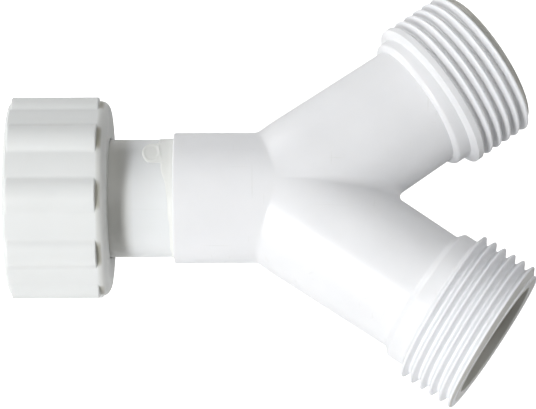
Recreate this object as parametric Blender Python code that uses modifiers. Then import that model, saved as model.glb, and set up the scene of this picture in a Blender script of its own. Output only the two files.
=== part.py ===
"""Hose splitter: a moulded Y with two male hose threads and a ribbed swivel nut on its inlet.

The inlet's axis runs along +X from the nut to the fork, and the two branches lie in the XY plane.
The origin is under the middle of the part, at the height of the lowest rib of the nut.
"""

import math

import bmesh
import bpy
from mathutils import Matrix, Vector

MM = 0.001

# pipe thread G 3/4, shared by the nut and both outlets
THREAD_PITCH = 1.814 * MM
THREAD_MAJOR_RADIUS = 13.22 * MM
THREAD_HEIGHT = 1.16 * MM
THREAD_CREST_WIDTH = 0.30 * MM
THREAD_CLEARANCE = 0.12 * MM        # radial room in the nut's thread
JOIN_DEPTH = 0.15 * MM              # how far a ridge or branch reaches into the wall it joins
THREAD_STEPS = 32                   # facets in one turn

# Y body
BRANCH_HALF_ANGLE = math.radians(34.7)
BRANCH_REACH = 42.6 * MM            # fork centre to the outlet face, along the branch
BRANCH_STEP = 1.49 * MM             # from the thread's root in to the tube beside the collar
BRANCH_DRAFT = math.radians(0.8)
BRANCH_WALL = 1.9 * MM
OUTLET_WALL = 2.1 * MM              # behind the thread
COLLAR_RELIEF = 0.39 * MM           # how far the collar stays under the thread's root
COLLAR_START = 28.5 * MM            # fork centre to the step up from the tube
COLLAR_STEP = 0.8 * MM
LEFT_THREAD_START = 30.8 * MM       # fork centre to the ridge's first point, under the branch
RIGHT_THREAD_START = 31.75 * MM
RUNOUT_LENGTH = 0.9 * MM            # where the thread rises to full height
RUNOUT_CLEARANCE = 0.02 * MM
MOUTH_CHAMFER = 0.25 * MM
SLEEVE_WALL = 0.96 * MM
SLEEVE_REACH = 16.9 * MM            # fork centre to the sleeve's mouth
SLEEVE_DEPTH = 11.6 * MM            # socket for the tailpiece
SLEEVE_CHAMFER = 0.2 * MM
THROAT_RADIUS = 8.2 * MM            # between the socket and the branches

# tailpiece
TAIL_RADIUS = 9.64 * MM
TAIL_WALL = 2.0 * MM
TAIL_GAP = 10.4 * MM                # bare tube between the nut and the sleeve
FLANGE_CLEARANCE = 0.48 * MM        # radial room to the nut's thread
FLANGE_THICKNESS = 2.2 * MM
EDGE_CHAMFER = 0.3 * MM
CEMENT_GAP = 0.1 * MM               # radial room in the socket
SOCKET_END_GAP = 0.3 * MM

# film of cement at the sleeve's mouth
CEMENT_LENGTH = 0.9 * MM
CEMENT_SMEAR = 2.3 * MM             # how much further it was wiped on one side
CEMENT_SMEAR_ANGLE = math.radians(135.0)
CEMENT_SMEAR_POWER = 1.5            # higher makes the smear narrower
CEMENT_RIPPLE = 0.15 * MM
CEMENT_WAVES = ((3, 0.0, 0.6), (7, 1.0, 0.4))  # waves round the tube, phase and share
CEMENT_THICKNESS = 0.22 * MM
CEMENT_CLEARANCE = 0.03 * MM

# swivel nut
NUT_LENGTH = 16.4 * MM
NUT_WALL = 2.46 * MM                # outside the thread's relief
NUT_RIB_COUNT = 10
NUT_REST_TURN = math.radians(16.1)  # from straight down to the nearest rib
NUT_RIB_HEIGHT = 1.0 * MM
NUT_RIB_ROUND = 3.6 * MM            # radius of a rib's crown
NUT_RIB_MARGIN = 0.15 * MM          # plain strip between a rib's ends and the rounded rims
NUT_FRONT_CHAMFER = 0.9 * MM
NUT_REAR_ROUND = 1.4 * MM
NUT_PLATE = 2.9 * MM                # wall that the tailpiece passes through
NUT_RUNNING_CLEARANCE = 0.25 * MM   # between its hole and the tailpiece
NUT_THREAD_DEPTH = 7.9 * MM
NUT_LEAD_IN = 0.8 * MM
NUT_RELIEF_STEP = 0.2 * MM          # clear room behind the thread, past its full depth
FLANGE_GAP = 0.3 * MM

# sealing washer
WASHER_CLEARANCE = 0.43 * MM        # radial room to the nut's thread
WASHER_BORE_RADIUS = 8.0 * MM
WASHER_THICKNESS = 2.5 * MM
WASHER_ROUND = 0.3 * MM
WASHER_GAP = 0.3 * MM

ROUND_FACETS = 48
RIB_FACETS = 32
OVERSHOOT = 1.0 * MM                # how far a cutter runs past what it cuts
WELD = 0.01 * MM                    # shorter edges than this are joined up
SHARP_ANGLE = math.radians(32.0)    # steeper edges than this stay crisp
EMPTY_SIZE = 10.0 * MM

# radii that follow from the sizes above
THREAD_MINOR_RADIUS = THREAD_MAJOR_RADIUS - THREAD_HEIGHT
COLLAR_RADIUS = THREAD_MINOR_RADIUS - COLLAR_RELIEF
BRANCH_END_RADIUS = THREAD_MINOR_RADIUS - BRANCH_STEP
NUT_THREAD_BORE = THREAD_MINOR_RADIUS + THREAD_CLEARANCE
NUT_GROOVE_RADIUS = THREAD_MAJOR_RADIUS + THREAD_CLEARANCE
NUT_RELIEF_RADIUS = NUT_GROOVE_RADIUS + NUT_RELIEF_STEP
NUT_BASE_RADIUS = NUT_RELIEF_RADIUS + NUT_WALL
NUT_OUTER_RADIUS = NUT_BASE_RADIUS + NUT_RIB_HEIGHT
RIB_CENTRE_RADIUS = NUT_OUTER_RADIUS - NUT_RIB_ROUND
FLANGE_RADIUS = NUT_THREAD_BORE - FLANGE_CLEARANCE
WASHER_RADIUS = NUT_THREAD_BORE - WASHER_CLEARANCE
TAIL_BORE_RADIUS = TAIL_RADIUS - TAIL_WALL
SOCKET_RADIUS = TAIL_RADIUS + CEMENT_GAP
SLEEVE_RADIUS = SOCKET_RADIUS + SLEEVE_WALL

# places along the inlet's axis, measured from the fork centre
SLEEVE_MOUTH_X = -SLEEVE_REACH
NUT_REAR_X = SLEEVE_MOUTH_X - TAIL_GAP
NUT_FRONT_X = NUT_REAR_X - NUT_LENGTH
PLATE_FACE_X = NUT_REAR_X - NUT_PLATE
FLANGE_BACK_X = PLATE_FACE_X - FLANGE_GAP
FLANGE_FACE_X = FLANGE_BACK_X - FLANGE_THICKNESS
WASHER_BACK_X = FLANGE_FACE_X - WASHER_GAP
SOCKET_END_X = SLEEVE_MOUTH_X + SLEEVE_DEPTH
TAIL_END_X = SOCKET_END_X - SOCKET_END_GAP

OUTLET_X = BRANCH_REACH * math.cos(BRANCH_HALF_ANGLE) + THREAD_MINOR_RADIUS * math.sin(BRANCH_HALF_ANGLE)
AXIS_HEIGHT = RIB_CENTRE_RADIUS * math.cos(NUT_REST_TURN) + NUT_RIB_ROUND
FORK_CENTRE = Vector((-(NUT_FRONT_X + OUTLET_X) / 2, 0.0, AXIS_HEIGHT))

# a name and a sign for each branch, and where its thread begins
SIDES = (
    ("left", 1, LEFT_THREAD_START),
    ("right", -1, RIGHT_THREAD_START),
)


def clear_scene():
    for obj in list(bpy.data.objects):
        bpy.data.objects.remove(obj, do_unlink=True)


def new_collection(name):
    collection = bpy.data.collections.new(name)
    bpy.context.scene.collection.children.link(collection)
    return collection


def new_material(name, colour, roughness):
    material = bpy.data.materials.new(name)
    material.use_nodes = True
    shader = material.node_tree.nodes["Principled BSDF"]
    shader.inputs["Base Color"].default_value = (*colour, 1.0)
    shader.inputs["Roughness"].default_value = roughness
    shader.inputs["Metallic"].default_value = 0.0
    material.diffuse_color = (*colour, 1.0)
    return material


def add_object(name, mesh, collection):
    obj = bpy.data.objects.new(name, mesh)
    collection.objects.link(obj)
    return obj


def turned(name, outline, collection, closed=False):
    """Turn (radius, height) points about local Z, from the top down the outer side."""
    mesh = bpy.data.meshes.new(name)
    points = [(radius, 0.0, height) for radius, height in outline]
    edges = [(i, i + 1) for i in range(len(points) - 1)]
    if closed:
        edges.append((len(points) - 1, 0))
    mesh.from_pydata(points, edges, [])
    obj = add_object(name, mesh, collection)
    screw = obj.modifiers.new("turn", "SCREW")
    screw.steps = ROUND_FACETS
    screw.render_steps = ROUND_FACETS
    screw.use_merge_vertices = True
    screw.merge_threshold = 0.00001
    screw.use_normal_calculate = False
    return obj


def corner_arc(radius, height, size, start, steps=4):
    """Quarter round of the given size about (radius, height), from the start angle clockwise."""
    angles = [start - math.pi / 2 * i / steps for i in range(steps + 1)]
    return [(radius + size * math.cos(a), height + size * math.sin(a)) for a in angles]


def helical_tooth(name, root_radius, crest_radius, start, turns, collection):
    """One right-hand thread ridge as a closed bar, spun about local Z while it climbs by the pitch."""
    steps = round(THREAD_STEPS * turns)
    half_crest = THREAD_CREST_WIDTH / 2
    half_root = THREAD_PITCH / 2 - half_crest
    section = (
        (root_radius, -half_root),
        (crest_radius, -half_crest),
        (crest_radius, half_crest),
        (root_radius, half_root),
    )
    bm = bmesh.new()
    corners = [bm.verts.new((radius, 0.0, start + height)) for radius, height in section]
    face = bm.faces.new(corners)
    bmesh.ops.spin(
        bm,
        geom=[face, *face.edges, *face.verts],
        axis=(0.0, 0.0, 1.0),
        cent=(0.0, 0.0, 0.0),
        dvec=(0.0, 0.0, THREAD_PITCH / THREAD_STEPS),
        angle=math.tau * steps / THREAD_STEPS,
        steps=steps,
        use_duplicate=False,
    )
    bmesh.ops.holes_fill(bm, edges=bm.edges, sides=len(section))
    bmesh.ops.recalc_face_normals(bm, faces=bm.faces)
    mesh = bpy.data.meshes.new(name)
    bm.to_mesh(mesh)
    bm.free()
    return add_object(name, mesh, collection)


def along_inlet(obj, x=0.0):
    """Stand an object's local Z along the inlet's axis."""
    obj.location = FORK_CENTRE + Vector((x, 0.0, 0.0))
    obj.rotation_euler = (0.0, math.pi / 2, 0.0)


def along_branch(obj, side):
    """Stand an object's local Z along a branch: side is 1 for the left branch, -1 for the right."""
    obj.location = FORK_CENTRE
    obj.rotation_euler = (0.0, math.pi / 2, side * BRANCH_HALF_ANGLE)


def combine(obj, tool, operation, solver="EXACT"):
    """Boolean of obj with a tool. The helical ridges need the MANIFOLD solver to stay closed."""
    boolean = obj.modifiers.new(operation.lower() + " " + tool.name, "BOOLEAN")
    boolean.operation = operation
    boolean.object = tool
    boolean.solver = solver


def settle(obj, material, parent):
    """Apply the modifiers, weld slivers, shade the round faces smooth and set the parent."""
    bpy.context.view_layer.update()
    evaluated = obj.evaluated_get(bpy.context.evaluated_depsgraph_get())
    mesh = bpy.data.meshes.new_from_object(evaluated)
    mesh.name = obj.name
    bm = bmesh.new()
    bm.from_mesh(mesh)
    bmesh.ops.remove_doubles(bm, verts=bm.verts, dist=WELD)
    bmesh.ops.dissolve_degenerate(bm, edges=bm.edges, dist=WELD)
    bmesh.ops.triangulate(bm, faces=bm.faces, ngon_method="BEAUTY")
    bm.to_mesh(mesh)
    bm.free()
    obj.modifiers.clear()
    obj.data = mesh
    mesh.shade_smooth()
    mesh.set_sharp_from_angle(angle=SHARP_ANGLE)
    mesh.materials.clear()
    mesh.materials.append(material)
    world = obj.matrix_world.copy()
    obj.parent = parent
    obj.matrix_parent_inverse = parent.matrix_world.inverted()
    obj.matrix_world = world


def tube_radius(distance):
    """Outer radius of a branch, which has the mould's draft."""
    return BRANCH_END_RADIUS + (COLLAR_START - distance) * math.tan(BRANCH_DRAFT)


def branch_outside(name, side, thread_start, collection):
    """Tube, step, collar and thread root as one turned solid, a little too long at the outlet.

    At the fork centre the tube narrows to just inside the sleeve, so they meet without a ledge.
    """
    step_top = COLLAR_START + COLLAR_STEP
    top = BRANCH_REACH + OVERSHOOT
    outline = [
        (0.0, top),
        (THREAD_MINOR_RADIUS, top),
        (THREAD_MINOR_RADIUS, thread_start + RUNOUT_LENGTH / 2),
        (COLLAR_RADIUS, thread_start - RUNOUT_LENGTH / 2),
        *corner_arc(COLLAR_RADIUS - COLLAR_STEP, step_top, COLLAR_STEP, 0.0),
        (BRANCH_END_RADIUS, COLLAR_START),
        (tube_radius(SLEEVE_RADIUS / 2), SLEEVE_RADIUS / 2),
        (SLEEVE_RADIUS - JOIN_DEPTH, 0.0),
        (0.0, 0.0),
    ]
    obj = turned(name, outline, collection)
    along_branch(obj, side)
    return obj


def branch_bore(name, side, collection):
    """Hollow of a branch: wide behind the thread, narrower in the tube, open at the outlet."""
    wide = THREAD_MINOR_RADIUS - OUTLET_WALL
    narrow = BRANCH_END_RADIUS - BRANCH_WALL
    outline = [
        (0.0, BRANCH_REACH + OVERSHOOT),
        (wide + MOUTH_CHAMFER + OVERSHOOT, BRANCH_REACH + OVERSHOOT),
        (wide, BRANCH_REACH - MOUTH_CHAMFER),
        (wide, COLLAR_START + COLLAR_STEP),
        (narrow, COLLAR_START - BRANCH_WALL),
        (narrow, 0.0),
        (0.0, 0.0),
    ]
    obj = turned(name, outline, collection)
    along_branch(obj, side)
    return obj


def outlet_thread(name, side, thread_start, collection):
    """Thread ridge of an outlet, buried a little in its root and run past the outlet face."""
    turns = (BRANCH_REACH + OVERSHOOT - thread_start) / THREAD_PITCH
    buried = THREAD_MINOR_RADIUS - JOIN_DEPTH
    tooth = helical_tooth(name, buried, THREAD_MAJOR_RADIUS, thread_start, turns, collection)
    along_branch(tooth, side)
    return tooth


def outlet_trim(name, side, collection):
    """Disc that cuts the outlet face flat."""
    wide = THREAD_MAJOR_RADIUS + OVERSHOOT
    outline = [
        (0.0, BRANCH_REACH + 3 * OVERSHOOT),
        (wide, BRANCH_REACH + 3 * OVERSHOOT),
        (wide, BRANCH_REACH),
        (0.0, BRANCH_REACH),
    ]
    obj = turned(name, outline, collection)
    along_branch(obj, side)
    return obj


def runout_trim(name, side, thread_start, collection):
    """Cone that lets the thread rise from the collar to its full height."""
    wide = THREAD_MAJOR_RADIUS + OVERSHOOT
    floor = thread_start - THREAD_PITCH / 2
    outline = [
        (THREAD_MAJOR_RADIUS + RUNOUT_CLEARANCE, floor + RUNOUT_LENGTH),
        (wide, floor + RUNOUT_LENGTH),
        (wide, floor),
        (COLLAR_RADIUS + RUNOUT_CLEARANCE, floor),
    ]
    obj = turned(name, outline, collection, closed=True)
    along_branch(obj, side)
    return obj


def make_y_body(parts, cutters, material, parent):
    """Sleeve, fork and both threaded outlets, moulded in one."""
    sleeve = [
        (0.0, 0.0),
        (SLEEVE_RADIUS, 0.0),
        (SLEEVE_RADIUS, SLEEVE_MOUTH_X + SLEEVE_CHAMFER),
        (SLEEVE_RADIUS - SLEEVE_CHAMFER, SLEEVE_MOUTH_X),
        (0.0, SLEEVE_MOUTH_X),
    ]
    body = turned("y_body", sleeve, parts)
    along_inlet(body)
    for word, side, start in SIDES:
        combine(body, branch_outside("branch_" + word, side, start, cutters), "UNION")
    for word, side, start in SIDES:
        combine(body, outlet_thread("thread_" + word, side, start, cutters), "UNION", "MANIFOLD")
        combine(body, runout_trim("runout_" + word, side, start, cutters), "DIFFERENCE", "MANIFOLD")
        combine(body, outlet_trim("outlet_face_" + word, side, cutters), "DIFFERENCE", "MANIFOLD")
    for word, side, _ in SIDES:
        combine(body, branch_bore("bore_" + word, side, cutters), "DIFFERENCE", "MANIFOLD")
    socket = [
        (0.0, THROAT_RADIUS * math.sin(BRANCH_HALF_ANGLE)),
        (THROAT_RADIUS, THROAT_RADIUS * math.sin(BRANCH_HALF_ANGLE)),
        (THROAT_RADIUS, SOCKET_END_X),
        (SOCKET_RADIUS, SOCKET_END_X),
        (SOCKET_RADIUS, SLEEVE_MOUTH_X - OVERSHOOT),
        (0.0, SLEEVE_MOUTH_X - OVERSHOOT),
    ]
    socket_cutter = turned("socket", socket, cutters)
    along_inlet(socket_cutter)
    combine(body, socket_cutter, "DIFFERENCE", "MANIFOLD")
    settle(body, material, parent)


def make_tailpiece(parts, material, parent):
    """Tube with the flange that holds the nut on."""
    outline = [
        (TAIL_BORE_RADIUS, TAIL_END_X),
        (TAIL_RADIUS - EDGE_CHAMFER, TAIL_END_X),
        (TAIL_RADIUS, TAIL_END_X - EDGE_CHAMFER),
        (TAIL_RADIUS, FLANGE_BACK_X),
        (FLANGE_RADIUS - EDGE_CHAMFER, FLANGE_BACK_X),
        (FLANGE_RADIUS, FLANGE_BACK_X - EDGE_CHAMFER),
        (FLANGE_RADIUS, FLANGE_FACE_X),
        (TAIL_BORE_RADIUS, FLANGE_FACE_X),
    ]
    obj = turned("tailpiece", outline, parts, closed=True)
    along_inlet(obj)
    settle(obj, material, parent)


def make_washer(parts, material, parent):
    """Flat sealing ring with softened edges, against the flange."""
    top = WASHER_BACK_X
    bottom = WASHER_BACK_X - WASHER_THICKNESS
    edge = WASHER_ROUND
    outline = [
        *corner_arc(WASHER_RADIUS - edge, top - edge, edge, math.pi / 2, 1),
        *corner_arc(WASHER_RADIUS - edge, bottom + edge, edge, 0.0, 1),
        (WASHER_BORE_RADIUS, bottom),
        (WASHER_BORE_RADIUS, top),
    ]
    obj = turned("hose_washer", outline, parts, closed=True)
    along_inlet(obj)
    settle(obj, material, parent)


def cement_edge(angle):
    """How far the film has crept along the tube at an angle: a narrow ring, wiped out on one side."""
    smear = max(0.0, math.cos(angle - CEMENT_SMEAR_ANGLE)) ** CEMENT_SMEAR_POWER
    ripple = sum(share * math.sin(waves * angle + phase) for waves, phase, share in CEMENT_WAVES)
    return CEMENT_LENGTH + CEMENT_SMEAR * smear + CEMENT_RIPPLE * ripple


def make_cement(parts, material, parent):
    """Thin uneven ring of squeezed-out cement on the tailpiece, against the sleeve's mouth."""
    inner = TAIL_RADIUS + CEMENT_CLEARANCE
    thick = inner + CEMENT_THICKNESS
    thin = inner + CEMENT_THICKNESS / 4
    top = SLEEVE_MOUTH_X - CEMENT_CLEARANCE
    section = (
        (inner, top),
        (thick, top),
        (thin, top - CEMENT_LENGTH),
        (inner, top - CEMENT_LENGTH),
    )
    bm = bmesh.new()
    corners = [bm.verts.new((radius, 0.0, height)) for radius, height in section]
    edges = [bm.edges.new((corners[i], corners[(i + 1) % len(corners)])) for i in range(len(corners))]
    bmesh.ops.spin(
        bm,
        geom=[*edges, *corners],
        axis=(0.0, 0.0, 1.0),
        cent=(0.0, 0.0, 0.0),
        angle=math.tau,
        steps=ROUND_FACETS,
        use_merge=True,
    )
    bmesh.ops.remove_doubles(bm, verts=bm.verts, dist=0.00001)
    for vert in bm.verts:
        if vert.co.z < top - CEMENT_LENGTH / 2:
            vert.co.z = top - cement_edge(math.atan2(vert.co.y, vert.co.x))
    bmesh.ops.recalc_face_normals(bm, faces=bm.faces)
    mesh = bpy.data.meshes.new("cement_bead")
    bm.to_mesh(mesh)
    bm.free()
    obj = add_object("cement_bead", mesh, parts)
    along_inlet(obj)
    settle(obj, material, parent)


def nut_ribs(collection):
    """Round bars set in a ring: what stands out of the nut is its grip."""
    rib_length = NUT_LENGTH - NUT_FRONT_CHAMFER - NUT_REAR_ROUND - 2 * NUT_RIB_MARGIN
    bm = bmesh.new()
    for i in range(NUT_RIB_COUNT):
        turn = Matrix.Rotation(NUT_REST_TURN + math.tau * i / NUT_RIB_COUNT, 4, "Z")
        bmesh.ops.create_cone(
            bm,
            cap_ends=True,
            segments=RIB_FACETS,
            radius1=NUT_RIB_ROUND,
            radius2=NUT_RIB_ROUND,
            depth=rib_length,
            matrix=turn @ Matrix.Translation((RIB_CENTRE_RADIUS, 0.0, 0.0)),
        )
    mesh = bpy.data.meshes.new("nut_ribs")
    bm.to_mesh(mesh)
    bm.free()
    ribs = add_object("nut_ribs", mesh, collection)
    along_inlet(ribs, NUT_REAR_X - NUT_REAR_ROUND - NUT_RIB_MARGIN - rib_length / 2)
    return ribs


def make_nut(parts, cutters, material, parent):
    """Ribbed nut, threaded inside, with an end plate that runs on the tailpiece."""
    front = -NUT_LENGTH
    outside = [
        (0.0, 0.0),
        *corner_arc(NUT_BASE_RADIUS - NUT_REAR_ROUND, -NUT_REAR_ROUND, NUT_REAR_ROUND, math.pi / 2),
        (NUT_BASE_RADIUS, front + NUT_FRONT_CHAMFER),
        (NUT_BASE_RADIUS - NUT_FRONT_CHAMFER, front),
        (0.0, front),
    ]
    nut = turned("swivel_nut", outside, parts)
    along_inlet(nut, NUT_REAR_X)
    combine(nut, nut_ribs(cutters), "UNION")

    core = NUT_THREAD_BORE
    relief = NUT_RELIEF_RADIUS
    hole = TAIL_RADIUS + NUT_RUNNING_CLEARANCE
    thread_end = front + NUT_THREAD_DEPTH
    inside = [
        (0.0, OVERSHOOT),
        (hole, OVERSHOOT),
        (hole, -NUT_PLATE),
        (relief, -NUT_PLATE),
        (relief, thread_end),
        (core, thread_end - (relief - core)),
        (core, front + NUT_LEAD_IN),
        (relief + OVERSHOOT, front + NUT_LEAD_IN - (relief + OVERSHOOT - core)),
        (0.0, front + NUT_LEAD_IN - (relief + OVERSHOOT - core)),
    ]
    cavity = turned("nut_cavity", inside, cutters)
    along_inlet(cavity, NUT_REAR_X)
    combine(nut, cavity, "DIFFERENCE")

    turns = (NUT_THREAD_DEPTH + THREAD_PITCH) / THREAD_PITCH
    buried = core - JOIN_DEPTH
    start = front - THREAD_PITCH
    groove = helical_tooth("nut_thread", buried, NUT_GROOVE_RADIUS, start, turns, cutters)
    along_inlet(groove, NUT_REAR_X)
    combine(nut, groove, "DIFFERENCE", "MANIFOLD")
    settle(nut, material, parent)


def new_empty(name, location, collection):
    empty = bpy.data.objects.new(name, None)
    empty.empty_display_size = EMPTY_SIZE
    empty.location = location
    collection.objects.link(empty)
    return empty


def main():
    clear_scene()
    parts = new_collection("hose_splitter")
    cutters = new_collection("hose_splitter_cutters")
    white = new_material("white_plastic", (0.80, 0.81, 0.80), 0.35)
    nut_white = new_material("nut_plastic", (0.82, 0.82, 0.80), 0.38)
    tube_white = new_material("tube_plastic", (0.78, 0.80, 0.79), 0.30)
    cement = new_material("clear_cement", (0.82, 0.83, 0.80), 0.12)
    rubber = new_material("black_rubber", (0.02, 0.02, 0.02), 0.75)

    fixed = new_empty("fixed_pieces", FORK_CENTRE, parts)
    nut_axis = new_empty("nut_axis", FORK_CENTRE + Vector((NUT_REAR_X, 0.0, 0.0)), parts)
    bpy.context.view_layer.update()

    make_y_body(parts, cutters, white, fixed)
    make_tailpiece(parts, tube_white, fixed)
    make_washer(parts, rubber, fixed)
    make_cement(parts, cement, fixed)
    make_nut(parts, cutters, nut_white, nut_axis)

    for cutter in cutters.objects:
        cutter.hide_render = True
        cutter.display_type = "WIRE"


main()
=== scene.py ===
import math

import bmesh
import bpy
import numpy as np
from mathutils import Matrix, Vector


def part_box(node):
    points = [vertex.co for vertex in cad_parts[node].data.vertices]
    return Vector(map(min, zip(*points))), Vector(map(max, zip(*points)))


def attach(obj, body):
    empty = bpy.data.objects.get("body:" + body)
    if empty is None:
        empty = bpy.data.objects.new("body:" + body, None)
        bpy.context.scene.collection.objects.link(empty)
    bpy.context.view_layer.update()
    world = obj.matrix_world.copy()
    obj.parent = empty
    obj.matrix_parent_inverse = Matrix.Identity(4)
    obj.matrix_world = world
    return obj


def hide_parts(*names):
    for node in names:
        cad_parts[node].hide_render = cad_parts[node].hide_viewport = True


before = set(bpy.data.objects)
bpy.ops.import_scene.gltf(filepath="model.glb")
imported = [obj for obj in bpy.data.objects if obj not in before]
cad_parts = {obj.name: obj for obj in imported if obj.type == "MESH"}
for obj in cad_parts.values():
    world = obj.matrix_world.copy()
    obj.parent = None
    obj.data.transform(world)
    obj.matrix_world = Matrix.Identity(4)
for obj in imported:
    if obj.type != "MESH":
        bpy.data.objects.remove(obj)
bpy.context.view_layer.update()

mm = 0.001


# places, read off the fixed frame

def boxOf(node):
    low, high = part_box(node)
    return np.array(low), np.array(high)


bodyLow = boxOf("y_body")[0]
tailLow, tailHigh = boxOf("tailpiece")
nutLow, nutHigh = boxOf("swivel_nut")
washerLow, washerHigh = boxOf("hose_washer")

fork = {
    "sleeveReach": 16.9 * mm,  # fork centre to the sleeve's mouth
    "halfAngle": math.radians(34.7),
}
axisZ = (tailLow[2] + tailHigh[2]) / 2
forkCentre = np.array([bodyLow[0] + fork["sleeveReach"], 0.0, axisZ])
up = np.array([0.0, 0.0, 1.0])


def axisFrame(direction, sideways):
    return np.array(direction, float), np.array(sideways, float)


cosHalf, sinHalf = math.cos(fork["halfAngle"]), math.sin(fork["halfAngle"])
inletAxis = axisFrame((-1, 0, 0), (0, 1, 0))
rearAxis = axisFrame((1, 0, 0), (0, 1, 0))  # from the nut's front towards the sleeve
leftAxis = axisFrame((cosHalf, sinHalf, 0), (-sinHalf, cosHalf, 0))
rightAxis = axisFrame((cosHalf, -sinHalf, 0), (sinHalf, cosHalf, 0))
print("frame read, fork centre at", forkCentre.round(5))


# mesh helpers: a piece is a grid of rings along an axis, angle 0 underneath and 180 degrees on top

def ringAngles(count):
    return np.linspace(0.0, math.tau, count + 1)


def placeRings(along, radius, angles, axis, origin):
    direction, sideways = axis
    radial = np.sin(angles)[:, None] * sideways - np.cos(angles)[:, None] * up
    return origin + along[..., None] * direction + radius[..., None] * radial[None]


def turnOutline(outline, angles, axis, origin):
    # rings from (along, radius) pairs, the same at every angle
    along = np.repeat(outline[:, :1], len(angles), axis=1)
    radius = np.repeat(outline[:, 1:], len(angles), axis=1)
    return placeRings(along, radius, angles, axis, origin)


def smoothStep(value, low, high):
    t = np.clip((value - low) / (high - low), 0.0, 1.0)
    return t * t * (3 - 2 * t)


def roundedOutline(corners, segments=4):
    # corners are (along, radius, rounding), and each comes back as a small arc
    points = []
    for i, (along, radius, rounding) in enumerate(corners):
        here = np.array([along, radius])
        if rounding == 0.0:
            points.append(here)
            continue
        before = np.array(corners[i - 1][:2]) - here
        after = np.array(corners[(i + 1) % len(corners)][:2]) - here
        before /= np.linalg.norm(before)
        after /= np.linalg.norm(after)
        half = math.acos(float(np.clip(before @ after, -1, 1))) / 2
        reach = rounding / math.tan(half)
        middle = (before + after) / np.linalg.norm(before + after)
        centre = here + middle * rounding / math.sin(half)
        first, last = here + before * reach - centre, here + after * reach - centre
        for k in range(segments + 1):
            blend = first * (1 - k / segments) + last * (k / segments)
            points.append(centre + blend / np.linalg.norm(blend) * rounding)
    return np.array(points)


def meshFromGrids(name, grids, mergeDistance=0.0000015):
    # each grid is (rows, columns, 3), and rims that lie on each other are joined
    vertices, faces, start = [], [], 0
    for grid in grids:
        rows, columns = grid.shape[:2]
        vertices.append(grid.reshape(-1, 3))
        index = np.arange(rows * columns).reshape(rows, columns) + start
        quads = np.stack([index[:-1, :-1], index[:-1, 1:], index[1:, 1:], index[1:, :-1]], axis=-1)
        faces.append(quads.reshape(-1, 4))
        start += rows * columns
    mesh = bpy.data.meshes.new(name)
    mesh.from_pydata(np.concatenate(vertices).tolist(), [], np.concatenate(faces).tolist())
    bm = bmesh.new()
    bm.from_mesh(mesh)
    bmesh.ops.remove_doubles(bm, verts=bm.verts, dist=mergeDistance)
    bmesh.ops.dissolve_degenerate(bm, edges=bm.edges, dist=mergeDistance)
    bmesh.ops.recalc_face_normals(bm, faces=bm.faces)
    openEdges = sum(1 for edge in bm.edges if len(edge.link_faces) != 2)
    bm.to_mesh(mesh)
    bm.free()
    print(name, len(mesh.polygons), "faces,", openEdges, "open edges")
    return mesh


def addPiece(name, mesh, body, node, sharpAngle=math.radians(40)):
    mesh.shade_smooth()
    mesh.set_sharp_from_angle(angle=sharpAngle)
    piece = bpy.data.objects.new(name, mesh)
    bpy.context.scene.collection.objects.link(piece)
    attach(piece, body)
    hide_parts(node)
    return piece


def vertexPlaces(mesh):
    places = np.empty(len(mesh.vertices) * 3)
    mesh.vertices.foreach_get("co", places)
    return places.reshape(-1, 3)


def storePaintedShade(mesh, amount):
    # how much painted shade each point gets, 0 to 1
    layer = mesh.attributes.new("paintedShade", "FLOAT", "POINT")
    layer.data.foreach_set("value", np.clip(amount, 0.0, 1.0).astype(np.float32))


# hose thread

thread = {
    "pitch": 1.814 * mm,
    "crestRadius": 13.22 * mm,
    "rootRadius": 12.06 * mm,
    "tipRound": 0.249 * mm,  # round of the crests and of the roots
    "tipSteps": 3,
    "flankSteps": 4,
    "spare": 1.3,  # pitches kept before the low end, so that every ring reaches it
    "flankAngle": math.radians(27.5),
}


def threadSamples():
    # (share of a pitch from the crest, height from 0 at the root to 1 at the crest) over one pitch
    steep = math.pi / 2 - thread["flankAngle"]
    tip = thread["tipRound"]
    height = thread["crestRadius"] - thread["rootRadius"]
    angles = np.linspace(-steep, steep, 2 * thread["tipSteps"] + 1)
    crest = [(tip * math.sin(a), height - tip * (1 - math.cos(a))) for a in angles]
    root = [(thread["pitch"] / 2 + tip * math.sin(a), tip * (1 - math.cos(a))) for a in angles]
    points = crest + root + [(crest[0][0] + thread["pitch"], crest[0][1])]
    samples = []
    for here, after in zip(points[:-1], points[1:]):
        pieces = thread["flankSteps"] if abs(after[1] - here[1]) > height / 2 else 1
        for k in range(pieces):
            samples.append((
                here[0] + (after[0] - here[0]) * k / pieces,
                here[1] + (after[1] - here[1]) * k / pieces,
            ))
    samples = np.array(samples)
    samples[:, 0] /= thread["pitch"]
    samples[:, 1] /= height
    return samples


threadProfile = threadSamples()


def threadHeight(turn):
    # 0 at the roots to 1 at the crests, for a place counted in pitches from a crest
    share = (turn + 0.25) % 1.0 - 0.25
    points = np.concatenate([threadProfile, [[threadProfile[0, 0] + 1.0, threadProfile[0, 1]]]])
    share = np.where(share < points[0, 0], share + 1.0, share)
    return np.interp(share, points[:, 0], points[:, 1])


def threadRows(start, low, high, angles):
    # rings that follow the helix, held between the places low and high
    firstTurn = math.floor((low - start) / thread["pitch"]) - 2
    lastTurn = math.ceil((high - start) / thread["pitch"]) + 1
    turns = np.concatenate([threadProfile[:, 0] + k for k in range(firstTurn, lastTurn + 1)])
    turns = turns[turns * thread["pitch"] + start > low - thread["spare"] * thread["pitch"]]
    helix = start + thread["pitch"] * (turns[:, None] + angles[None] / math.tau)
    along = np.clip(helix, low, high)
    turn = (along - start) / thread["pitch"] - angles[None] / math.tau
    return along, turn


# Y body

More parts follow.
